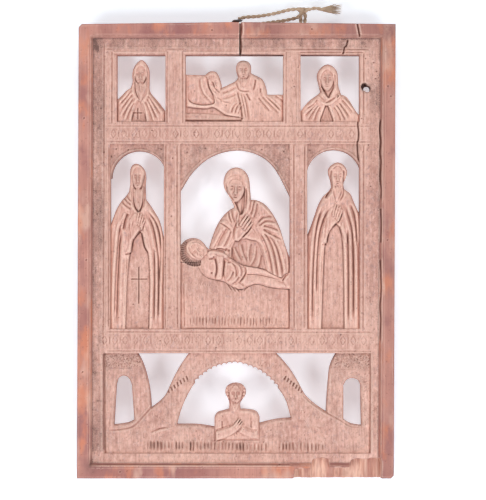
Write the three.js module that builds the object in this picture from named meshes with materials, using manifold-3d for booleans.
// A pierced wooden icon, carved from the front of one plank and hung by a twine.
// Millimetres, +Z up. The front looks along -Y, the flat back lies in the plane y = 0,
// and the origin is the middle of the back. The plank's members, from its rim to its
// figures, are separate solids that meet face to face.
import * as THREE from 'three';
import { mergeVertices } from 'three/addons/utils/BufferGeometryUtils.js';
import Module from 'manifold-3d';

const wasm = await Module();
wasm.setup();

// The plank
const plankWidth = 190;
const plankHeight = 272;
const plankThickness = 18;
const plankLean = 1.1;
const plankCrown = 1.2;
const wornCorner = 1.8;
const rimWidth = 7.3;
const rimBevel = 2.2;
const fieldThickness = 14;
const spandrelThickness = 12;

// Heights of the rows, from the top edge down; the tall row takes what is left
const topRailHeight = 19.1;
const windowHeight = 40.1;
const upperBandHeight = 13.4;
const lowerBandHeight = 14.6;
const sceneHeight = 59.9;
const bottomRailHeight = 14.5;

// Widths in the upper row, from the left edge; the middle window takes what is left
const upperStileWidth = 23.6;
const upperLeftWidth = 29;
const upperLeftMullionWidth = 12;
const upperRightMullionWidth = 10.4;
const upperRightWidth = 35.3;

// Widths in the tall row, from the left edge; the middle bay takes what is left
const tallStileWidth = 19.6;
const leftBayWidth = 32.1;
const leftColumnWidth = 9.9;
const rightColumnWidth = 10.5;
const rightBayWidth = 31.3;
const rightStileWidth = 21.2;
const sideArchRadius = 16.4;

// The lowest row's scene
const sceneLeftInset = 16.1;
const sceneRightInset = 14.6;

// Mouldings on the mullions, columns and bands
const mouldingBevel = 1.2;
const lineInset = 2;
const lineWidth = 0.9;
const lineDepth = 0.6;

// Relief, as heights above the back
const figureEdge = 8.6;
const figureCrown = 12.6;
const robeEdge = 7.8;
const robeCrown = 10.4;
const sonBed = 6.2;
const moundEdge = 9.4;
const moundCrown = 11.6;
const towerEdge = 10.2;
const towerCrown = 12;
const archThickness = 12.4;
const bustEdge = 7.4;
const bustCrown = 11.4;
const faceRise = 2.6;
const beardRise = 2.2;
const handRise = 1.7;
const sleeveRadius = 2.2;
const foldRadius = 0.75;
const hemRadius = 1.05;
const contourGap = 0.3;

// Scallops along the bridge
const scallopRadius = 1.75;
const scallopPitch = 3.25;
const scallopSink = 0.95;

// Damage: the split at the nail, the drilled hole and the broken corner
const splitWidth = 0.9;
const splitFloor = 9.4;
const drilledHole = 4;
const breakWidth = 53;
const breakHeight = 11.4;
const breakInset = 7.9;

// The nail in the top edge
const nailLength = 20.8;
const nailShank = 2;
const nailTip = 0.7;
const nailHead = 7;
const nailHeadHeight = 1.5;
const nailHeadLift = 0.7;
const nailPlace = 0.5;
const nailLeanAngle = 5;
const nailFit = 0.3;

// The tack behind the top rail
const tackPlace = 39.8;
const tackDrop = 11;
const tackShank = 1.6;
const tackDepth = 9;
const tackHead = 6;
const tackHeadHeight = 0.9;
const tackStand = 3.1;

// The twine
const twineDiameter = 2.3;
const knotWidth = 6.4;
const knotHeight = 4.4;
const knotDepth = 5.2;
const frayLength = 12.5;
const frayWidth = 7;
const frayDepth = 4;

const overrun = 4;
const weldLength = 0.03;
const curveSteps = 2;

const wood = { color: 0xc79a88, roughness: 0.72, metalness: 0 };
const varnishedWood = { color: 0xa5705f, roughness: 0.6, metalness: 0 };
const iron = { color: 0x2b2523, roughness: 0.6, metalness: 0.85 };
const hemp = { color: 0xbfa58a, roughness: 0.9, metalness: 0 };

// Places that follow from the sizes
const left = -plankWidth / 2;
const right = plankWidth / 2;
const top = plankHeight / 2;
const foot = -plankHeight / 2;
const windowTop = top - topRailHeight;
const windowFoot = windowTop - windowHeight;
const bandFoot = windowFoot - upperBandHeight;
const sceneFoot = foot + bottomRailHeight;
const sceneTop = sceneFoot + sceneHeight;
const bayFoot = sceneTop + lowerBandHeight;
const rightStileEdge = right - rightStileWidth;

function box(x0, x1, z0, z1) {
  return { x0, x1, z0, z1, width: x1 - x0, height: z1 - z0 };
}

const upperLeft = box(
  left + upperStileWidth, left + upperStileWidth + upperLeftWidth, windowFoot, windowTop);
const upperRight = box(rightStileEdge - upperRightWidth, rightStileEdge, windowFoot, windowTop);
const upperMiddle = box(
  upperLeft.x1 + upperLeftMullionWidth, upperRight.x0 - upperRightMullionWidth,
  windowFoot, windowTop);
const leftBay = box(
  left + tallStileWidth, left + tallStileWidth + leftBayWidth, bayFoot, bandFoot);
const rightBay = box(rightStileEdge - rightBayWidth, rightStileEdge, bayFoot, bandFoot);
const middleBay = box(
  leftBay.x1 + leftColumnWidth, rightBay.x0 - rightColumnWidth, bayFoot, bandFoot);
const scene = box(left + sceneLeftInset, right - sceneRightInset, sceneFoot, sceneTop);

function placeIn(area, [across, up]) {
  return new THREE.Vector2(area.x0 + across * area.width, area.z0 + up * area.height);
}

// Solids

function solidOf(geometry) {
  const bare = geometry.clone();
  bare.deleteAttribute('normal');
  bare.deleteAttribute('uv');
  const merged = mergeVertices(bare);
  return new wasm.Manifold(new wasm.Mesh({
    numProp: 3,
    vertProperties: new Float32Array(merged.attributes.position.array),
    triVerts: new Uint32Array(merged.index.array),
  }));
}

// Corners that a cut left closer together than the weld length become one
function weldedTriangles(places, corners) {
  const keep = Array.from({ length: places.length / 3 }, (_, index) => index);
  const kept = (index) => {
    let found = index;
    while (keep[found] !== found) found = keep[found];
    return found;
  };
  const gap = (a, b) => Math.hypot(...[0, 1, 2].map((axis) => (
    places[3 * a + axis] - places[3 * b + axis])));
  const triangles = [];
  for (let index = 0; index < corners.length; index += 3) {
    triangles.push([corners[index], corners[index + 1], corners[index + 2]]);
  }
  for (const [a, b, c] of triangles) {
    for (const [from, to] of [[a, b], [b, c], [c, a]]) {
      const [first, second] = [kept(from), kept(to)];
      if (first !== second && gap(first, second) < weldLength) {
        keep[Math.max(first, second)] = Math.min(first, second);
      }
    }
  }
  return triangles.map((triangle) => triangle.map(kept))
    .filter(([a, b, c]) => a !== b && b !== c && c !== a)
    .flat();
}

function geometryOf(solid) {
  const mesh = solid.getMesh();
  const geometry = new THREE.BufferGeometry();
  geometry.setAttribute('position', new THREE.BufferAttribute(mesh.vertProperties, 3));
  geometry.setIndex(weldedTriangles(mesh.vertProperties, mesh.triVerts));
  geometry.computeVertexNormals();
  return geometry;
}

function joined(solids) {
  return solids.reduce((sum, solid) => sum.add(solid));
}

// An outline is a list of runs; a run of two points is a straight, a longer one is a smooth curve
function outlineIn(area, runs) {
  const shape = new THREE.Shape();
  runs.forEach((run, index) => {
    const points = run.map((share) => placeIn(area, share));
    if (index === 0) shape.moveTo(points[0].x, points[0].y);
    if (points.length === 2) shape.lineTo(points[1].x, points[1].y);
    else shape.splineThru(points.slice(1));
  });
  return shape;
}

function polygon(points) {
  return new THREE.Shape(points.map(([x, z]) => new THREE.Vector2(x, z)));
}

function rectangle(area) {
  return polygon([[area.x0, area.z0], [area.x1, area.z0], [area.x1, area.z1], [area.x0, area.z1]]);
}

// Quarter turns without rounding: the first stands a drawing up with its depth towards the
// front, the second lays an upright extrusion along the plank's width
const standUp = new THREE.Matrix4().set(1, 0, 0, 0, 0, 0, -1, 0, 0, 1, 0, 0, 0, 0, 0, 1);
const layAcross = new THREE.Matrix4().set(0, 0, 1, 0, 0, 1, 0, 0, -1, 0, 0, 0, 0, 0, 0, 1);

// A drawing in the plane of the plank, from one height above the back to another
function slab(shape, low, high) {
  const geometry = new THREE.ExtrudeGeometry(
    shape, { depth: high - low, bevelEnabled: false, curveSegments: curveSteps });
  geometry.translate(0, 0, low);
  geometry.applyMatrix4(standUp);
  return solidOf(geometry);
}

// The height of a rounded face at a share of its width
function archHeight(share, edge, crown) {
  const offset = 2 * share - 1;
  return edge + (crown - edge) * (1 - offset * offset);
}

const archStepCount = 8;

// A block over an area whose front is rounded across its width, or up its height
function roundedBlock(area, edge, crown, upward = false) {
  const span = upward ? area.height : area.width;
  const length = upward ? area.width : area.height;
  const shape = new THREE.Shape();
  shape.moveTo(0, 0);
  for (let step = 0; step <= archStepCount; step += 1) {
    const share = step / archStepCount;
    shape.lineTo(share * span, -archHeight(share, edge, crown));
  }
  shape.lineTo(span, 0);
  const geometry = new THREE.ExtrudeGeometry(shape, { depth: length, bevelEnabled: false });
  if (upward) {
    geometry.applyMatrix4(layAcross);
    geometry.translate(area.x0, 0, area.z1);
  } else {
    geometry.translate(area.x0, 0, area.z0);
  }
  return solidOf(geometry);
}

// The section of a mullion, column or band: bevelled edges and two cut lines
function mouldingSection(width) {
  const shape = new THREE.Shape();
  const side = fieldThickness - mouldingBevel;
  const lineSteps = [lineInset, lineInset + lineWidth / 2, lineInset + lineWidth];
  shape.moveTo(0, 0);
  shape.lineTo(0, -side);
  shape.lineTo(mouldingBevel, -fieldThickness);
  lineSteps.forEach((place, index) => {
    shape.lineTo(place, index === 1 ? lineDepth - fieldThickness : -fieldThickness);
  });
  lineSteps.slice().reverse().forEach((place, index) => {
    shape.lineTo(width - place, index === 1 ? lineDepth - fieldThickness : -fieldThickness);
  });
  shape.lineTo(width - mouldingBevel, -fieldThickness);
  shape.lineTo(width, -side);
  shape.lineTo(width, 0);
  return shape;
}

function uprightMoulding(area) {
  const geometry = new THREE.ExtrudeGeometry(
    mouldingSection(area.width), { depth: area.height, bevelEnabled: false });
  geometry.translate(area.x0, 0, area.z0);
  return solidOf(geometry);
}

function levelMoulding(area) {
  const geometry = new THREE.ExtrudeGeometry(
    mouldingSection(area.height), { depth: area.width, bevelEnabled: false });
  geometry.applyMatrix4(layAcross);
  geometry.translate(area.x0, 0, area.z1);
  return solidOf(geometry);
}

const roundSegments = 12;
const roundRings = 8;

// A rounded form set into a carved face
function roundForm(area, form, height, rise) {
  const geometry = new THREE.SphereGeometry(1, roundSegments, roundRings);
  geometry.scale(form.radii[0] * area.width, rise, form.radii[1] * area.height);
  geometry.rotateY(THREE.MathUtils.degToRad(form.tilt ?? 0));
  const middle = placeIn(area, form.centre);
  geometry.translate(middle.x, -height, middle.y);
  return solidOf(geometry);
}

function capsule(start, end, radius) {
  const along = new THREE.Vector3().subVectors(end, start);
  const geometry = new THREE.CapsuleGeometry(radius, along.length(), 3, 8);
  const turn = new THREE.Quaternion().setFromUnitVectors(
    new THREE.Vector3(0, 1, 0), along.clone().normalize());
  geometry.applyQuaternion(turn);
  geometry.translate((start.x + end.x) / 2, (start.y + end.y) / 2, (start.z + end.z) / 2);
  return solidOf(geometry);
}

// A tube with flat ends along a smooth line
function tube(points, radius, sides, steps) {
  const section = new THREE.Shape();
  for (let side = 0; side < sides; side += 1) {
    const angle = (side / sides) * 2 * Math.PI;
    section.lineTo(radius * Math.cos(angle), radius * Math.sin(angle));
  }
  section.curves.shift();
  const path = new THREE.CatmullRomCurve3(points);
  return new THREE.ExtrudeGeometry(section, { steps, extrudePath: path, bevelEnabled: false });
}

const gougeSides = 5;

// A flute left by a gouge that follows the carved face
function gougeCut(area, run, edge, crown, radius = foldRadius) {
  const points = run.map((share) => {
    const place = placeIn(area, share);
    return new THREE.Vector3(place.x, -archHeight(share[0], edge, crown), place.y);
  });
  return solidOf(tube(points, radius, gougeSides, points.length));
}

// Blank: the plank with its raised rim, before it is pierced

function plankOutline() {
  const headLeft = left + plankLean;
  const footRight = right - plankLean;
  const shoulder = top - plankCrown;
  return polygon([
    [left, foot], [footRight - wornCorner, foot], [footRight, foot + wornCorner],
    [right, shoulder], [0, top], [headLeft + wornCorner, shoulder],
    [headLeft, shoulder - wornCorner],
  ]);
}

function fieldPocket() {
  const inset = rimWidth + rimBevel;
  const floor = box(left + inset, right - inset, foot + inset, top - inset);
  const geometry = new THREE.ExtrudeGeometry(rectangle(floor), {
    depth: overrun,
    bevelEnabled: true,
    bevelThickness: plankThickness - fieldThickness,
    bevelSize: rimBevel,
    bevelSegments: 1,
  });
  geometry.translate(0, 0, plankThickness);
  geometry.applyMatrix4(standUp);
  return solidOf(geometry);
}

const blank = slab(plankOutline(), 0, plankThickness).subtract(fieldPocket());

function cutFromBlank(points) {
  return blank.intersect(slab(polygon(points), -overrun, plankThickness + overrun));
}

// Rails and stiles

// The floor of the torn corner, as shares of its width and of the plank's thickness
const breakFloorShares = [
  [0, 0.9], [0.12, 0.8], [0.26, 0.77], [0.3, 0.7], [0.36, 0.75], [0.5, 0.74], [0.62, 0.78],
  [0.7, 0.72], [0.83, 0.75], [0.94, 0.79], [1, 0.94],
];

function tornCorner() {
  const from = right - breakInset - breakWidth;
  const shape = new THREE.Shape();
  breakFloorShares.forEach(([across, floor]) => {
    shape.lineTo(from + across * breakWidth, -floor * plankThickness);
  });
  shape.lineTo(from + breakWidth, -plankThickness - overrun);
  shape.lineTo(from, -plankThickness - overrun);
  shape.curves.shift();
  const geometry = new THREE.ExtrudeGeometry(
    shape, { depth: breakHeight + overrun, bevelEnabled: false });
  geometry.translate(0, 0, foot - overrun);
  return solidOf(geometry);
}

function nailAxisPoint(below) {
  const lean = THREE.MathUtils.degToRad(nailLeanAngle);
  return new THREE.Vector3(
    nailPlace + below * Math.tan(lean), -plankThickness / 2, top + nailHeadLift - below);
}

function nailBore() {
  const length = topRailHeight + 2 * overrun;
  const geometry = new THREE.CylinderGeometry(
    nailShank / 2 + nailFit, nailTip / 2 + nailFit, length, 10);
  geometry.translate(0, -length / 2, 0);
  geometry.rotateX(Math.PI / 2);
  geometry.rotateY(-THREE.MathUtils.degToRad(nailLeanAngle));
  const start = nailAxisPoint(0);
  geometry.translate(start.x, start.y, start.z);
  return solidOf(geometry);
}

function split() {
  const middle = nailAxisPoint(topRailHeight / 2).x + splitWidth;
  const area = box(middle - splitWidth / 2, middle + splitWidth / 2,
    windowTop - overrun, top + overrun);
  return slab(rectangle(area), splitFloor, plankThickness + overrun);
}

function tackBore() {
  const geometry = new THREE.CylinderGeometry(
    tackShank / 2 + nailFit, tackShank / 2 + nailFit, tackDepth + nailFit + overrun, 10);
  geometry.translate(tackPlace, (overrun - tackDepth - nailFit) / 2, top - tackDrop);
  return solidOf(geometry);
}

function topRail() {
  const area = box(left - overrun, right + overrun, windowTop, top + overrun);
  const rail = blank.intersect(slab(rectangle(area), -overrun, plankThickness + overrun));
  return rail.subtract(nailBore()).subtract(split()).subtract(tackBore());
}

function bottomRail() {
  const area = box(left - overrun, right + overrun, foot - overrun, sceneFoot);
  const rail = blank.intersect(slab(rectangle(area), -overrun, plankThickness + overrun));
  return rail.subtract(tornCorner());
}

function leftStile() {
  return cutFromBlank([
    [left - overrun, sceneFoot], [scene.x0, sceneFoot], [scene.x0, sceneTop],
    [leftBay.x0, sceneTop], [leftBay.x0, windowFoot], [upperLeft.x0, windowFoot],
    [upperLeft.x0, windowTop], [left - overrun, windowTop],
  ]);
}

// The drilled hole, as a share of the right stile's width and of the upper window's height
const drilledHoleShares = [0.21, 0.49];

function rightStile() {
  const stile = cutFromBlank([
    [scene.x1, sceneFoot], [right + overrun, sceneFoot], [right + overrun, windowTop],
    [rightStileEdge, windowTop], [rightStileEdge, sceneTop], [scene.x1, sceneTop],
  ]);
  const area = box(rightStileEdge, right, windowFoot, windowTop);
  const middle = placeIn(area, drilledHoleShares);
  const drill = new THREE.CylinderGeometry(
    drilledHole / 2, drilledHole / 2, plankThickness + 2 * overrun, 16);
  drill.translate(middle.x, -plankThickness / 2, middle.y);
  return stile.subtract(solidOf(drill));
}

// Arch heads

function sideArchHead(bay, centreShare, crownShare) {
  const centreX = bay.x0 + centreShare * bay.width;
  const centreZ = bay.z0 + crownShare * bay.height - sideArchRadius;
  const reach = (x) => Math.acos(THREE.MathUtils.clamp((x - centreX) / sideArchRadius, -1, 1));
  const startAngle = reach(bay.x1);
  const endAngle = reach(bay.x0);
  const shape = new THREE.Shape();
  shape.moveTo(bay.x0, bay.z1);
  shape.lineTo(bay.x0, centreZ + sideArchRadius * Math.sin(endAngle));
  shape.absarc(centreX, centreZ, sideArchRadius, endAngle, startAngle, true);
  shape.lineTo(bay.x1, bay.z1);
  const geometry = new THREE.ExtrudeGeometry(
    shape, { depth: spandrelThickness, bevelEnabled: false, curveSegments: 16 });
  geometry.applyMatrix4(standUp);
  return solidOf(geometry);
}

const leftArchShares = { centre: 0.538, crown: 0.964 };
const rightArchShares = { centre: 0.51, crown: 0.971 };

const middleArchShares = [
  [[0, 1], [0, 0.746]],
  [[0, 0.746], [0.09, 0.834], [0.181, 0.892], [0.271, 0.93], [0.38, 0.957], [0.515, 0.97],
    [0.624, 0.962], [0.723, 0.941], [0.814, 0.903], [0.895, 0.841], [1, 0.716]],
  [[1, 0.716], [1, 1]],
];

// Figures

// One carved figure: a rounded body in its outline, with its robe sunk between the mantle's
// edges, its face, beard and hands raised, and its folds cut with a gouge
function figure(area, shares, edge = figureEdge, crown = figureCrown) {
  const heightAt = (share) => archHeight(share, edge, crown);
  let solid = slab(outlineIn(area, shares.outline), -overrun, crown + overrun)
    .intersect(roundedBlock(area, edge, crown));
  for (const robe of shares.robes ?? []) {
    const opening = slab(outlineIn(area, robe.outline), robeEdge / 2, crown + overrun);
    const [from, to] = robe.across;
    const cloth = box(area.x0 + from * area.width, area.x0 + to * area.width, area.z0, area.z1);
    solid = solid.subtract(opening.subtract(roundedBlock(cloth, robeEdge, robeCrown)));
  }
  for (const run of shares.folds ?? []) {
    solid = solid.subtract(gougeCut(area, run, edge, crown));
  }
  for (const run of shares.hems ?? []) {
    solid = solid.subtract(gougeCut(area, run, edge, crown, hemRadius));
  }
  const raised = [];
  for (const face of shares.faces ?? []) {
    raised.push(roundForm(area, face, heightAt(face.centre[0]) - faceRise / 3, faceRise));
  }
  for (const beard of shares.beards ?? []) {
    raised.push(roundForm(area, beard, heightAt(beard.centre[0]) - beardRise / 4, beardRise));
  }
  for (const hand of shares.hands ?? []) {
    raised.push(roundForm(area, hand, heightAt(hand.centre[0]) - handRise / 4, handRise));
  }
  for (const sleeve of shares.sleeves ?? []) {
    const [start, end] = sleeve.map((share) => {
      const place = placeIn(area, share);
      return new THREE.Vector3(place.x, sleeveRadius / 2 - heightAt(share[0]), place.y);
    });
    raised.push(capsule(start, end, sleeveRadius));
  }
  return raised.length ? joined([solid, ...raised]) : solid;
}

const hoodedElderShares = {
  outline: [
    [[0, 0], [0, 0.33]],
    [[0, 0.33], [0.08, 0.38], [0.18, 0.46], [0.28, 0.51]],
    [[0.28, 0.51], [0.32, 0.6], [0.31, 0.7], [0.35, 0.82], [0.49, 0.93], [0.6, 0.88],
      [0.66, 0.79], [0.665, 0.65], [0.66, 0.53]],
    [[0.66, 0.53], [0.7, 0.43], [0.86, 0.3], [1, 0.16]],
    [[1, 0.16], [1, 0]],
  ],
  robes: [{
    outline: [[[0.31, 0], [0.43, 0.37]], [[0.43, 0.37], [0.5, 0.34]], [[0.5, 0.34], [0.61, 0]]],
    across: [0.28, 0.64],
  }],
  faces: [{ centre: [0.49, 0.7], radii: [0.12, 0.14] }],
  beards: [{ centre: [0.5, 0.48], radii: [0.13, 0.17] }],
  hems: [
    [[0.39, 0.76], [0.38, 0.6], [0.4, 0.44], [0.44, 0.37]],
    [[0.63, 0.74], [0.61, 0.6], [0.63, 0.46], [0.7, 0.38]],
  ],
  folds: [
    [[0.24, 0.42], [0.16, 0.34], [0.1, 0.24]], [[0.32, 0.36], [0.22, 0.22], [0.16, 0.12]],
    [[0.66, 0.27], [0.72, 0.14], [0.78, 0.03]], [[0.74, 0.24], [0.8, 0.14], [0.86, 0.06]],
    [[0.78, 0.3], [0.86, 0.2], [0.92, 0.12]],
  ],
};

const sleepingFigureShares = {
  outline: [
    [[0, 0], [0, 0.71]], [[0, 0.71], [0.2, 0.7]],
    [[0.2, 0.7], [0.24, 0.75], [0.28, 0.76], [0.32, 0.74], [0.35, 0.66], [0.37, 0.56]],
    [[0.37, 0.56], [0.37, 0.36]], [[0.37, 0.36], [0.55, 0.36]], [[0.55, 0.36], [0.55, 0]],
  ],
  robes: [{
    outline: [
      [[0.01, 0.02], [0.01, 0.25]], [[0.01, 0.25], [0.12, 0.24], [0.27, 0.27]],
      [[0.27, 0.27], [0.37, 0.18], [0.54, 0.12]], [[0.54, 0.12], [0.54, 0.02]],
    ],
    across: [-0.2, 0.8],
  }],
  faces: [{ centre: [0.31, 0.6], radii: [0.05, 0.15], tilt: -24 }],
  folds: [
    [[0.18, 0.56], [0.22, 0.44], [0.28, 0.33], [0.3, 0.24]],
    [[0.48, 0.3], [0.47, 0.22], [0.46, 0.16]], [[0.52, 0.32], [0.52, 0.24], [0.5, 0.16]],
  ],
};

const bedsideElderShares = {
  outline: [
    [[0.55, 0], [0.55, 0.36]], [[0.55, 0.36], [0.37, 0.36]], [[0.37, 0.36], [0.37, 0.51]],
    [[0.37, 0.51], [0.45, 0.565], [0.51, 0.61], [0.54, 0.67]],
    [[0.54, 0.67], [0.518, 0.765], [0.52, 0.847], [0.547, 0.9], [0.592, 0.921],
      [0.642, 0.9], [0.671, 0.84], [0.672, 0.73]],
    [[0.672, 0.73], [0.732, 0.686], [0.792, 0.632], [0.825, 0.52], [0.839, 0.41]],
    [[0.839, 0.41], [1, 0.41]], [[1, 0.41], [1, 0]],
  ],
  faces: [{ centre: [0.59, 0.77], radii: [0.055, 0.13] }],
  beards: [{ centre: [0.6, 0.64], radii: [0.05, 0.13] }],
  hems: [
    [[0.52, 0.57], [0.55, 0.5], [0.6, 0.46], [0.66, 0.47], [0.69, 0.6]],
    [[0.38, 0.47], [0.42, 0.43], [0.48, 0.42]],
  ],
  folds: [
    [[0.56, 0.42], [0.6, 0.25], [0.62, 0.03]], [[0.6, 0.42], [0.64, 0.25], [0.65, 0.03]],
    [[0.64, 0.42], [0.67, 0.36], [0.69, 0.29]], [[0.8, 0.36], [0.88, 0.25], [0.95, 0.13]],
    [[0.84, 0.38], [0.92, 0.27], [0.98, 0.17]],
  ],
};

const veiledWomanShares = {
  outline: [
    [[0, 0], [0, 0.16]],
    [[0, 0.16], [0.07, 0.245], [0.17, 0.335], [0.27, 0.395], [0.34, 0.45]],
    [[0.34, 0.45], [0.31, 0.57], [0.28, 0.68], [0.3, 0.76], [0.37, 0.83], [0.454, 0.862],
      [0.556, 0.83], [0.62, 0.75], [0.637, 0.65], [0.645, 0.53], [0.69, 0.41]],
    [[0.69, 0.41], [0.775, 0.38], [0.86, 0.28], [0.94, 0.16], [1, 0.1]],
    [[1, 0.1], [1, 0]],
  ],
  robes: [{
    outline: [[[0.32, 0], [0.4, 0.24]], [[0.4, 0.24], [0.5, 0.24]], [[0.5, 0.24], [0.58, 0]]],
    across: [0.28, 0.64],
  }],
  faces: [{ centre: [0.44, 0.62], radii: [0.115, 0.15] }],
  hems: [
    [[0.31, 0.68], [0.33, 0.55], [0.39, 0.45], [0.44, 0.36], [0.43, 0.31]],
    [[0.57, 0.7], [0.57, 0.56], [0.54, 0.45], [0.5, 0.35], [0.44, 0.31]],
  ],
  folds: [
    [[0.3, 0.27], [0.22, 0.17], [0.15, 0.07]], [[0.24, 0.31], [0.16, 0.22]],
    [[0.58, 0.25], [0.64, 0.13], [0.7, 0.02]], [[0.62, 0.27], [0.7, 0.14], [0.76, 0.02]],
    [[0.68, 0.3], [0.76, 0.2], [0.82, 0.12]],
  ],
};

const leftMonkShares = {
  outline: [
    [[0, 0], [0, 0.557]],
    [[0, 0.557], [0.05, 0.6], [0.11, 0.646], [0.19, 0.686], [0.28, 0.716], [0.347, 0.743]],
    [[0.347, 0.743], [0.37, 0.795], [0.364, 0.854], [0.403, 0.885], [0.482, 0.896],
      [0.571, 0.886], [0.636, 0.862], [0.662, 0.827], [0.65, 0.768], [0.66, 0.703]],
    [[0.66, 0.703], [0.742, 0.67], [0.844, 0.624], [0.928, 0.573], [1, 0.476]],
    [[1, 0.476], [1, 0]],
  ],
  robes: [{
    outline: [
      [[0.25, 0], [0.31, 0.42]], [[0.31, 0.42], [0.4, 0.44]],
      [[0.4, 0.44], [0.42, 0.5], [0.54, 0.535]], [[0.54, 0.535], [0.67, 0.5], [0.7, 0.43]],
      [[0.7, 0.43], [0.75, 0.42]], [[0.75, 0.42], [0.74, 0]],
    ],
    across: [0.2, 0.8],
  }],
  faces: [{ centre: [0.51, 0.81], radii: [0.12, 0.055] }],
  beards: [{ centre: [0.51, 0.71], radii: [0.12, 0.075] }],
  hands: [{ centre: [0.5, 0.57], radii: [0.07, 0.055], tilt: 28 }],
  sleeves: [[[0.42, 0.53], [0.5, 0.56]], [[0.72, 0.5], [0.62, 0.56]]],
  hems: [
    [[0.41, 0.86], [0.4, 0.76], [0.41, 0.68], [0.48, 0.64]],
    [[0.63, 0.85], [0.62, 0.76], [0.6, 0.68], [0.57, 0.64]],
  ],
  folds: [
    [[0.25, 0.64], [0.16, 0.5], [0.1, 0.34], [0.08, 0.03]],
    [[0.33, 0.66], [0.24, 0.52], [0.16, 0.36], [0.12, 0.03]],
    [[0.68, 0.64], [0.8, 0.52], [0.87, 0.36], [0.88, 0.03]],
    [[0.78, 0.64], [0.88, 0.54], [0.94, 0.42]],
    [[0.38, 0.63], [0.33, 0.53], [0.32, 0.44]], [[0.62, 0.63], [0.7, 0.56]],
  ],
};

const rightMonkShares = {
  outline: [
    [[0, 0], [0, 0.503]],
    [[0, 0.503], [0.07, 0.554], [0.15, 0.62], [0.215, 0.673], [0.3, 0.716], [0.4, 0.743],
      [0.465, 0.768]],
    [[0.465, 0.768], [0.446, 0.805], [0.402, 0.849], [0.434, 0.881], [0.568, 0.903],
      [0.7, 0.888], [0.77, 0.849], [0.73, 0.814], [0.693, 0.784], [0.71, 0.757]],
    [[0.71, 0.757], [0.825, 0.732], [0.89, 0.69], [0.958, 0.646], [1, 0.624]],
    [[1, 0.624], [1, 0]],
  ],
  robes: [{
    outline: [
      [[0.23, 0], [0.27, 0.46]], [[0.27, 0.46], [0.38, 0.48]],
      [[0.38, 0.48], [0.42, 0.55], [0.55, 0.58]], [[0.55, 0.58], [0.67, 0.54], [0.7, 0.48]],
      [[0.7, 0.48], [0.73, 0.46]], [[0.73, 0.46], [0.76, 0]],
    ],
    across: [0.18, 0.8],
  }],
  faces: [{ centre: [0.58, 0.82], radii: [0.125, 0.06] }],
  beards: [{ centre: [0.57, 0.74], radii: [0.12, 0.055] }],
  hands: [{ centre: [0.5, 0.63], radii: [0.075, 0.05], tilt: 24 }],
  sleeves: [[[0.4, 0.56], [0.46, 0.6]], [[0.72, 0.53], [0.64, 0.58]]],
  hems: [
    [[0.45, 0.86], [0.45, 0.79], [0.46, 0.72], [0.55, 0.68]],
    [[0.7, 0.85], [0.69, 0.77], [0.67, 0.71], [0.6, 0.68]],
  ],
  folds: [
    [[0.4, 0.7], [0.26, 0.6], [0.14, 0.44], [0.09, 0.25], [0.08, 0.03]],
    [[0.3, 0.68], [0.18, 0.56], [0.1, 0.46]], [[0.42, 0.64], [0.3, 0.55], [0.24, 0.42]],
    [[0.76, 0.68], [0.83, 0.56], [0.87, 0.42], [0.87, 0.03]],
    [[0.86, 0.7], [0.93, 0.58], [0.96, 0.45]],
  ],
};

const veiledMotherShares = {
  outline: [
    [[0.262, 0.276], [0.262, 0.443]],
    [[0.262, 0.443], [0.29, 0.497], [0.33, 0.557], [0.384, 0.608], [0.443, 0.642],
      [0.492, 0.659]],
    [[0.492, 0.659], [0.457, 0.708], [0.402, 0.759], [0.393, 0.8], [0.411, 0.838],
      [0.452, 0.865], [0.511, 0.876], [0.574, 0.863], [0.619, 0.83], [0.635, 0.784],
      [0.644, 0.7]],
    [[0.644, 0.7], [0.705, 0.696], [0.778, 0.673], [0.85, 0.619], [0.909, 0.549],
      [0.949, 0.47], [1, 0.384]],
    [[1, 0.384], [1, 0.276]],
  ],
  robes: [{
    outline: [
      [[0.4, 0.35], [0.41, 0.43]], [[0.41, 0.43], [0.41, 0.48], [0.47, 0.53], [0.56, 0.49]],
      [[0.56, 0.49], [0.66, 0.47], [0.74, 0.45], [0.77, 0.38]], [[0.77, 0.38], [0.77, 0.3]],
    ],
    across: [0.3, 0.88],
  }],
  faces: [{ centre: [0.51, 0.765], radii: [0.09, 0.065] }],
  hands: [{ centre: [0.54, 0.55], radii: [0.045, 0.05], tilt: 34 }],
  sleeves: [[[0.43, 0.53], [0.53, 0.53]], [[0.69, 0.5], [0.6, 0.55]]],
  hems: [
    [[0.42, 0.79], [0.43, 0.74], [0.49, 0.69], [0.52, 0.62], [0.52, 0.56]],
    [[0.61, 0.78], [0.62, 0.72], [0.61, 0.66], [0.57, 0.6]],
    [[0.68, 0.69], [0.65, 0.62], [0.65, 0.59], [0.7, 0.54], [0.75, 0.47]],
  ],
  folds: [
    [[0.48, 0.63], [0.51, 0.58], [0.49, 0.54]], [[0.38, 0.57], [0.46, 0.54]],
    [[0.47, 0.53], [0.41, 0.49], [0.35, 0.44]], [[0.42, 0.54], [0.36, 0.49], [0.31, 0.43]],
    [[0.76, 0.61], [0.86, 0.59]], [[0.76, 0.54], [0.83, 0.45], [0.86, 0.34]],
    [[0.8, 0.53], [0.87, 0.43], [0.92, 0.34]], [[0.84, 0.55], [0.92, 0.48]],
    [[0.5, 0.47], [0.53, 0.41]], [[0.7, 0.46], [0.69, 0.38]],
  ],
};

const sonUpperShares = [
  [0, 0.451], [0.03, 0.473], [0.07, 0.488], [0.12, 0.493], [0.17, 0.486], [0.212, 0.465],
  [0.25, 0.436], [0.307, 0.428], [0.38, 0.423], [0.425, 0.397], [0.49, 0.37], [0.57, 0.343],
  [0.67, 0.332], [0.76, 0.322], [0.84, 0.296], [0.918, 0.276], [0.954, 0.295], [1, 0.305],
];

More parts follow.
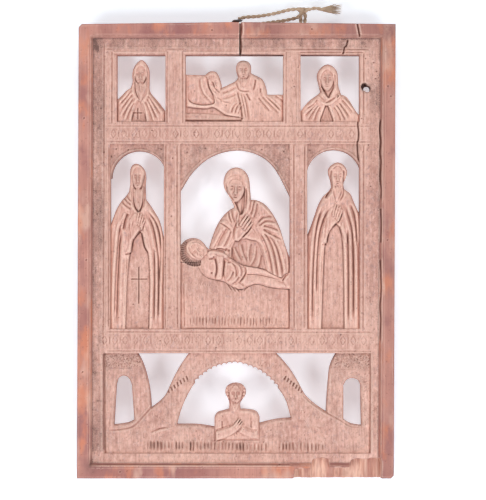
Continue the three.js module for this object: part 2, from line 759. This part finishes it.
const sonLowerShares = [
  [1, 0.214], [0.9, 0.218], [0.81, 0.225], [0.73, 0.24], [0.67, 0.24], [0.606, 0.225],
  [0.56, 0.211], [0.506, 0.218], [0.452, 0.235], [0.4, 0.255], [0.325, 0.265], [0.253, 0.276],
  [0.203, 0.297], [0.167, 0.33], [0.154, 0.362],
];

// The seams of the middle bay, hidden behind the son, as shares of the bay
const pillowEdgeShare = 0.262;
const pillowFootShare = 0.362;
const lapSeamShare = 0.276;

function shifted(points, lift) {
  return points.map((point) => new THREE.Vector2(point.x, point.y + lift));
}

function curveShape(start, ...runs) {
  const shape = new THREE.Shape();
  shape.moveTo(start.x, start.y);
  runs.forEach((run) => {
    if (run.length === 1) shape.lineTo(run[0].x, run[0].y);
    else shape.splineThru(run);
  });
  return shape;
}

// The son's outline, grown above and below by a clearance
function sonOutline(clearance) {
  const upper = shifted(sonUpperShares.map((share) => placeIn(middleBay, share)), clearance);
  const lower = shifted(sonLowerShares.map((share) => placeIn(middleBay, share)), -clearance);
  const pillowFoot = new THREE.Vector2(middleBay.x0, lower[lower.length - 1].y);
  return curveShape(upper[0], upper.slice(1), [lower[0]], lower.slice(1), [pillowFoot]);
}

const sonFormShares = {
  head: { centre: [0.15, 0.42], radii: [0.085, 0.036], tilt: 32 },
  chest: { centre: [0.26, 0.345], radii: [0.11, 0.07], tilt: 8 },
  hips: { centre: [0.46, 0.3], radii: [0.12, 0.055], tilt: 12 },
  arms: [[[0.36, 0.41], [0.34, 0.28]], [[0.42, 0.39], [0.33, 0.36]]],
  legs: [[[0.55, 0.315], [0.92, 0.265]], [[0.5, 0.26], [0.93, 0.235]]],
  feet: [{ centre: [0.95, 0.27], radii: [0.04, 0.025], tilt: -40 },
    { centre: [0.96, 0.235], radii: [0.035, 0.02], tilt: -20 }],
};

function recliningSon() {
  const cut = curveShape(
    placeIn(middleBay, [pillowEdgeShare, 0]),
    [placeIn(middleBay, [pillowEdgeShare, 1])], [placeIn(middleBay, [1, 1])],
    [placeIn(middleBay, [1, 0])]);
  const under = curveShape(
    placeIn(middleBay, [0, 0]), [placeIn(middleBay, [0, pillowFootShare])],
    [placeIn(middleBay, [pillowEdgeShare, pillowFootShare])],
    [placeIn(middleBay, [pillowEdgeShare, 0])]);
  const outline = slab(sonOutline(0), -overrun, plankThickness);
  const lying = outline
    .intersect(roundedBlock(
      box(middleBay.x0, middleBay.x1, placeIn(middleBay, sonLowerShares[0]).y,
        placeIn(middleBay, sonUpperShares[3]).y), figureEdge, figureCrown - foldRadius, true))
    .subtract(slab(cut, -overrun, sonBed))
    .subtract(slab(under, -overrun, sonBed));
  const forms = sonFormShares;
  const lift = (share) => archHeight(share[0], figureEdge, figureCrown);
  const limb = ([from, to]) => {
    const ends = [from, to].map((share) => {
      const place = placeIn(middleBay, share);
      return new THREE.Vector3(place.x, sleeveRadius - lift(share), place.y);
    });
    return capsule(ends[0], ends[1], sleeveRadius);
  };
  const mass = (form, rise) => roundForm(middleBay, form, figureEdge + rise / 2, rise);
  const body = joined([
    mass(forms.head, faceRise), mass(forms.chest, faceRise), mass(forms.hips, faceRise),
    ...forms.arms.map(limb), ...forms.legs.map(limb),
    ...forms.feet.map((foot) => mass(foot, handRise)),
  ]);
  return joined([lying, body.intersect(slab(sonOutline(0), sonBed, plankThickness))]);
}

function veiledMother() {
  return figure(middleBay, veiledMotherShares)
    .subtract(slab(sonOutline(contourGap), sonBed, plankThickness));
}

const moundTickShares = { first: 0.12, last: 0.87, foot: 0.01, head: 0.06, count: 16 };

function grassMound() {
  const seam = (share) => placeIn(middleBay, share);
  const shape = curveShape(
    seam([0, 0]), [seam([1, 0])], [seam([1, lapSeamShare])],
    [seam([pillowEdgeShare, lapSeamShare])], [seam([pillowEdgeShare, pillowFootShare])],
    [seam([0, pillowFootShare])]);
  const area = box(middleBay.x0, middleBay.x1, middleBay.z0,
    seam([0, pillowFootShare]).y);
  let mound = slab(shape, -overrun, plankThickness)
    .intersect(roundedBlock(area, moundEdge, moundCrown, true))
    .subtract(slab(sonOutline(contourGap), sonBed, plankThickness));
  const { first, last, foot: low, head: high, count } = moundTickShares;
  for (let index = 0; index < count; index += 1) {
    const across = first + (last - first) * index / (count - 1);
    const ends = [low, high].map((up) => {
      const place = seam([across, up]);
      return new THREE.Vector3(place.x, -archHeight(up / pillowFootShare, moundEdge, moundCrown),
        place.y);
    });
    mound = mound.subtract(solidOf(tube(ends, foldRadius, gougeSides, 1)));
  }
  return mound;
}

// The lowest scene

const leftTowerShares = {
  outline: [
    [[0, 0.259], [0, 1]], [[0, 1], [0.125, 1]],
    [[0.125, 1], [0.147, 0.881], [0.163, 0.736], [0.172, 0.597], [0.176, 0.458]],
    [[0.176, 0.458], [0.176, 0.259]],
  ],
  window: [
    [[0.035, 0.279], [0.044, 0.677]],
    [[0.044, 0.677], [0.052, 0.746], [0.073, 0.776], [0.093, 0.746], [0.103, 0.677]],
    [[0.103, 0.677], [0.112, 0.333]], [[0.112, 0.333], [0.088, 0.3], [0.035, 0.279]],
  ],
};

const rightTowerShares = {
  outline: [
    [[1, 0.259], [0.833, 0.259]], [[0.833, 0.259], [0.833, 0.412]],
    [[0.833, 0.412], [0.836, 0.557], [0.84, 0.706], [0.848, 0.876], [0.871, 1]],
    [[0.871, 1], [1, 1]],
  ],
  window: [
    [[0.898, 0.338], [0.898, 0.677]],
    [[0.898, 0.677], [0.909, 0.731], [0.931, 0.751], [0.953, 0.728], [0.963, 0.677]],
    [[0.963, 0.677], [0.966, 0.274]], [[0.966, 0.274], [0.927, 0.291], [0.898, 0.338]],
  ],
};

const bridgeShares = {
  outer: [
    [[0.176, 0.259], [0.176, 0.453]],
    [[0.176, 0.453], [0.207, 0.517], [0.229, 0.582], [0.248, 0.692], [0.271, 0.816],
      [0.293, 0.91], [0.317, 1]],
    [[0.317, 1], [0.644, 1]],
    [[0.644, 1], [0.675, 0.915], [0.703, 0.821], [0.731, 0.697], [0.752, 0.592],
      [0.774, 0.527], [0.802, 0.468], [0.833, 0.412]],
    [[0.833, 0.412], [0.833, 0.259]],
    [[0.833, 0.259], [0.7, 0.259]], [[0.7, 0.259], [0.7, 0.348]],
  ],
  inner: [
    [0.7, 0.348], [0.681, 0.527], [0.647, 0.667], [0.599, 0.791], [0.55, 0.861], [0.491, 0.9],
    [0.42, 0.861], [0.375, 0.791], [0.338, 0.697], [0.308, 0.557], [0.287, 0.423],
    [0.274, 0.299],
  ],
  legFoot: [[[0.274, 0.299], [0.274, 0.259]]],
  scallops: [0.647, 0.338],
};

const crossedArmsShares = {
  outline: [
    [[0.413, 0.129], [0.413, 0.358]],
    [[0.413, 0.358], [0.422, 0.398], [0.438, 0.416], [0.467, 0.435]],
    [[0.467, 0.435], [0.469, 0.498], [0.463, 0.552], [0.454, 0.597], [0.456, 0.647],
      [0.47, 0.684], [0.493, 0.7], [0.516, 0.684], [0.53, 0.642], [0.531, 0.587],
      [0.519, 0.542], [0.51, 0.498], [0.512, 0.438]],
    [[0.512, 0.438], [0.55, 0.43], [0.573, 0.408], [0.583, 0.358]],
    [[0.583, 0.358], [0.583, 0.129]],
  ],
  head: { centre: [0.493, 0.615], radii: [0.034, 0.075] },
  beard: { centre: [0.491, 0.5], radii: [0.02, 0.09] },
  arms: [[[0.425, 0.36], [0.425, 0.19]], [[0.573, 0.36], [0.573, 0.19]],
    [[0.43, 0.17], [0.51, 0.29]], [[0.57, 0.17], [0.49, 0.24]]],
};

const groundShares = {
  outline: [
    [[0, 0], [0, 0.259]], [[0, 0.259], [0.274, 0.259]], [[0.274, 0.259], [0.274, 0.284]],
    [[0.274, 0.284], [0.323, 0.286], [0.368, 0.279], [0.413, 0.257]],
    [[0.413, 0.257], [0.413, 0.129]], [[0.413, 0.129], [0.583, 0.129]],
    [[0.583, 0.129], [0.583, 0.294]],
    [[0.583, 0.294], [0.614, 0.318], [0.659, 0.34], [0.7, 0.348]],
    [[0.7, 0.348], [0.7, 0.259]], [[0.7, 0.259], [1, 0.259]], [[1, 0.259], [1, 0]],
  ],
  ticks: { first: 0.17, last: 0.82, foot: 0.01, head: 0.1, count: 24 },
};

function tower(shares) {
  return slab(outlineIn(scene, shares.outline), -overrun, plankThickness)
    .intersect(roundedBlock(scene, towerEdge, towerCrown + towerCrown - towerEdge))
    .subtract(slab(outlineIn(scene, shares.window), -overrun, plankThickness));
}

function scallopedBridge() {
  const outline = outlineIn(scene, [...bridgeShares.outer, bridgeShares.inner,
    ...bridgeShares.legFoot]);
  let bridge = slab(outline, 0, archThickness);
  const inner = new THREE.SplineCurve(bridgeShares.inner.map((share) => placeIn(scene, share)));
  const length = inner.getLength();
  const [rightShare, leftShare] = bridgeShares.scallops;
  const rightEnd = scene.x0 + rightShare * scene.width;
  const leftEnd = scene.x0 + leftShare * scene.width;
  const middle = placeIn(scene, crossedArmsShares.head.centre);
  const count = Math.floor(length / scallopPitch);
  for (let index = 0; index < count; index += 1) {
    const point = inner.getPointAt((index + 0.5) / count);
    const inward = middle.clone().sub(point).normalize().multiplyScalar(
      scallopRadius - scallopSink);
    const centre = point.clone().add(inward);
    if (point.x < rightEnd && point.x > leftEnd) {
      const bite = new THREE.CylinderGeometry(
        scallopRadius, scallopRadius, plankThickness + 2 * overrun, 12);
      bite.translate(centre.x, -plankThickness / 2, centre.y);
      bridge = bridge.subtract(solidOf(bite));
    }
  }
  return bridge;
}

function crossedArmsBust() {
  const shares = crossedArmsShares;
  const outline = slab(outlineIn(scene, shares.outline), -overrun, plankThickness);
  const chest = box(placeIn(scene, shares.outline[0][0]).x,
    placeIn(scene, shares.outline[4][0]).x, scene.z0, scene.z1);
  const body = outline.intersect(roundedBlock(chest, bustEdge, bustCrown));
  const arms = shares.arms.map((ends) => {
    const [start, end] = ends.map((share) => {
      const place = placeIn(scene, share);
      return new THREE.Vector3(place.x, sleeveRadius - bustCrown, place.y);
    });
    return capsule(start, end, sleeveRadius);
  });
  const raised = joined([
    roundForm(scene, shares.head, bustCrown - faceRise, 2 * faceRise),
    roundForm(scene, shares.beard, bustCrown, beardRise), ...arms,
  ]);
  return joined([body, raised.intersect(outline)]);
}

function groundWithTicks() {
  const area = box(scene.x0, scene.x1, scene.z0, placeIn(scene, [0, 0.348]).y);
  let ground = slab(outlineIn(scene, groundShares.outline), -overrun, plankThickness)
    .intersect(roundedBlock(area, towerEdge, towerCrown, true));
  const { first, last, foot: low, head: high, count } = groundShares.ticks;
  for (let index = 0; index < count; index += 1) {
    const across = first + (last - first) * index / (count - 1);
    const ends = [low, high].map((up) => {
      const place = placeIn(scene, [across, up]);
      const share = (place.y - area.z0) / area.height;
      return new THREE.Vector3(place.x, -archHeight(share, towerEdge, towerCrown), place.y);
    });
    ground = ground.subtract(solidOf(tube(ends, foldRadius, gougeSides, 1)));
  }
  return ground;
}

// Nail, tack and twine

function topNail() {
  const profile = [
    [0, -nailLength], [nailTip / 2, -nailLength + nailTip], [nailShank / 2, -nailShank],
    [nailShank / 2, 0], [nailHead / 2, nailHeadHeight / 3], [nailHead / 3, nailHeadHeight],
    [0, nailHeadHeight],
  ].map(([radius, height]) => new THREE.Vector2(radius, height));
  return new THREE.LatheGeometry(profile, 12);
}

function backTack() {
  const profile = [
    [0, -tackDepth], [tackShank / 2, -tackDepth + tackShank], [tackShank / 2, tackStand],
    [tackHead / 2, tackStand], [tackHead / 3, tackStand + tackHeadHeight],
    [0, tackStand + tackHeadHeight],
  ].map(([radius, height]) => new THREE.Vector2(radius, height));
  return new THREE.LatheGeometry(profile, 12);
}

const twineRadius = twineDiameter / 2;
const twineSides = 8;

function twineTube(points) {
  const path = new THREE.CatmullRomCurve3(points);
  const steps = Math.max(2, Math.round(path.getLength() / (2.5 * twineDiameter)));
  return solidOf(tube(points, twineRadius, twineSides, 2 * steps));
}

// The twine's route, chosen by eye, from the nail to the knot, its tail and the tack
const leadRoute = [
  [1.2, -3.6, 139.2], [5.5, -3.9, 140.2], [12.4, -3.6, 140.7], [21.9, -2.4, 142.3],
  [31.4, -0.8, 144.8], [36.4, 0.2, 145.4],
];
const tailRoute = [[44.2, 0.6, 145.4], [47.5, 0.4, 146], [51.1, 0.2, 145.5]];
const dropRoutes = [
  [[39, 0.6, 141.6], [38.9, 1.5, 138.5], [38.7, 1.6, 134], [38.1, 1.6, 129.5]],
  [[41.6, 1.2, 141.6], [41.4, 1.6, 138.5], [41.3, 1.6, 134], [41.6, 1.6, 129.5]],
];
const returnRoute = [
  [36.5, 1, 140.4], [29, 1.3, 138.7], [21.3, 1.5, 137.6], [14.5, 1.5, 136.4],
  [9.6, 1.6, 132.8], [10.2, 1.6, 128.4], [16, 1.6, 125.6], [26, 1.6, 124.8],
  [36, 1.6, 124.9],
];
const knotPlace = [40.3, 0.8, 144.3];
const frayStart = [51.6, 0.2, 145.3];

function routePoints(route) {
  return route.map(([x, y, z]) => new THREE.Vector3(x, y, z));
}

function twineKnot() {
  const knot = new THREE.SphereGeometry(1, 12, 8);
  knot.scale(knotWidth / 2, knotDepth / 2, knotHeight / 2);
  return knot;
}

function frayedEnd() {
  const profile = [
    [0, 0], [twineRadius, 0], [frayWidth / 2, frayLength * 0.7], [frayWidth / 3, frayLength],
    [0, frayLength],
  ].map(([radius, height]) => new THREE.Vector2(radius, height));
  const geometry = new THREE.LatheGeometry(profile, 10);
  geometry.scale(1, 1, frayDepth / frayWidth);
  return geometry;
}

// The scene graph

function piece(name, geometry, finish) {
  const mesh = new THREE.Mesh(geometry, new THREE.MeshStandardMaterial(finish));
  mesh.name = name;
  return mesh;
}

function carved(name, solid, finish = wood) {
  return piece(name, geometryOf(solid), finish);
}

function frameMembers() {
  const group = new THREE.Group();
  const between = (west, east) => box(west.x1, east.x0, west.z0, west.z1);
  group.add(
    carved('top_rail', topRail(), varnishedWood),
    carved('bottom_rail', bottomRail(), varnishedWood),
    carved('left_stile', leftStile(), varnishedWood),
    carved('right_stile', rightStile(), varnishedWood),
    carved('upper_left_mullion', uprightMoulding(between(upperLeft, upperMiddle))),
    carved('upper_right_mullion', uprightMoulding(between(upperMiddle, upperRight))),
    carved('left_column', uprightMoulding(between(leftBay, middleBay))),
    carved('right_column', uprightMoulding(between(middleBay, rightBay))),
    carved('upper_band', levelMoulding(box(leftBay.x0, rightBay.x1, bandFoot, windowFoot))),
    carved('lower_band', levelMoulding(box(leftBay.x0, rightBay.x1, sceneTop, bayFoot))),
    carved('left_arch_head', sideArchHead(
      leftBay, leftArchShares.centre, leftArchShares.crown)),
    carved('middle_arch_head', slab(
      outlineIn(middleBay, middleArchShares), 0, spandrelThickness)),
    carved('right_arch_head', sideArchHead(
      rightBay, rightArchShares.centre, rightArchShares.crown)),
  );
  return group;
}

function carvedFigures() {
  const group = new THREE.Group();
  group.add(
    carved('hooded_elder', figure(upperLeft, hoodedElderShares)),
    carved('sleeping_figure', figure(upperMiddle, sleepingFigureShares)),
    carved('bedside_elder', figure(upperMiddle, bedsideElderShares)),
    carved('veiled_woman', figure(upperRight, veiledWomanShares)),
    carved('left_monk', figure(leftBay, leftMonkShares)),
    carved('right_monk', figure(rightBay, rightMonkShares)),
    carved('veiled_mother', veiledMother()),
    carved('reclining_son', recliningSon()),
    carved('grass_mound', grassMound()),
    carved('left_tower', tower(leftTowerShares)),
    carved('right_tower', tower(rightTowerShares)),
    carved('scalloped_bridge', scallopedBridge()),
    carved('crossed_arms_bust', crossedArmsBust()),
    carved('ground', groundWithTicks()),
  );
  return group;
}

function hangingHardware() {
  const group = new THREE.Group();
  const nail = piece('top_nail', topNail(), iron);
  nail.position.copy(nailAxisPoint(0));
  nail.rotation.set(Math.PI / 2, -THREE.MathUtils.degToRad(nailLeanAngle), 0, 'YXZ');
  const tack = piece('back_tack', backTack(), iron);
  tack.position.set(tackPlace, 0, top - tackDrop);
  const knot = piece('twine_knot', twineKnot(), hemp);
  knot.position.set(...knotPlace);
  const fray = piece('twine_frayed_end', frayedEnd(), hemp);
  fray.position.set(...frayStart);
  fray.rotation.set(0, 0, -Math.PI / 2);
  group.add(
    nail, tack, knot, fray,
    carved('twine_lead', twineTube(routePoints(leadRoute)), hemp),
    carved('twine_tail', twineTube(routePoints(tailRoute)), hemp),
    carved('twine_drop_left', twineTube(routePoints(dropRoutes[0])), hemp),
    carved('twine_drop_right', twineTube(routePoints(dropRoutes[1])), hemp),
    carved('twine_return', twineTube(routePoints(returnRoute)), hemp),
  );
  return group;
}

const icon = new THREE.Group();
icon.add(frameMembers(), carvedFigures(), hangingHardware());

export default icon;
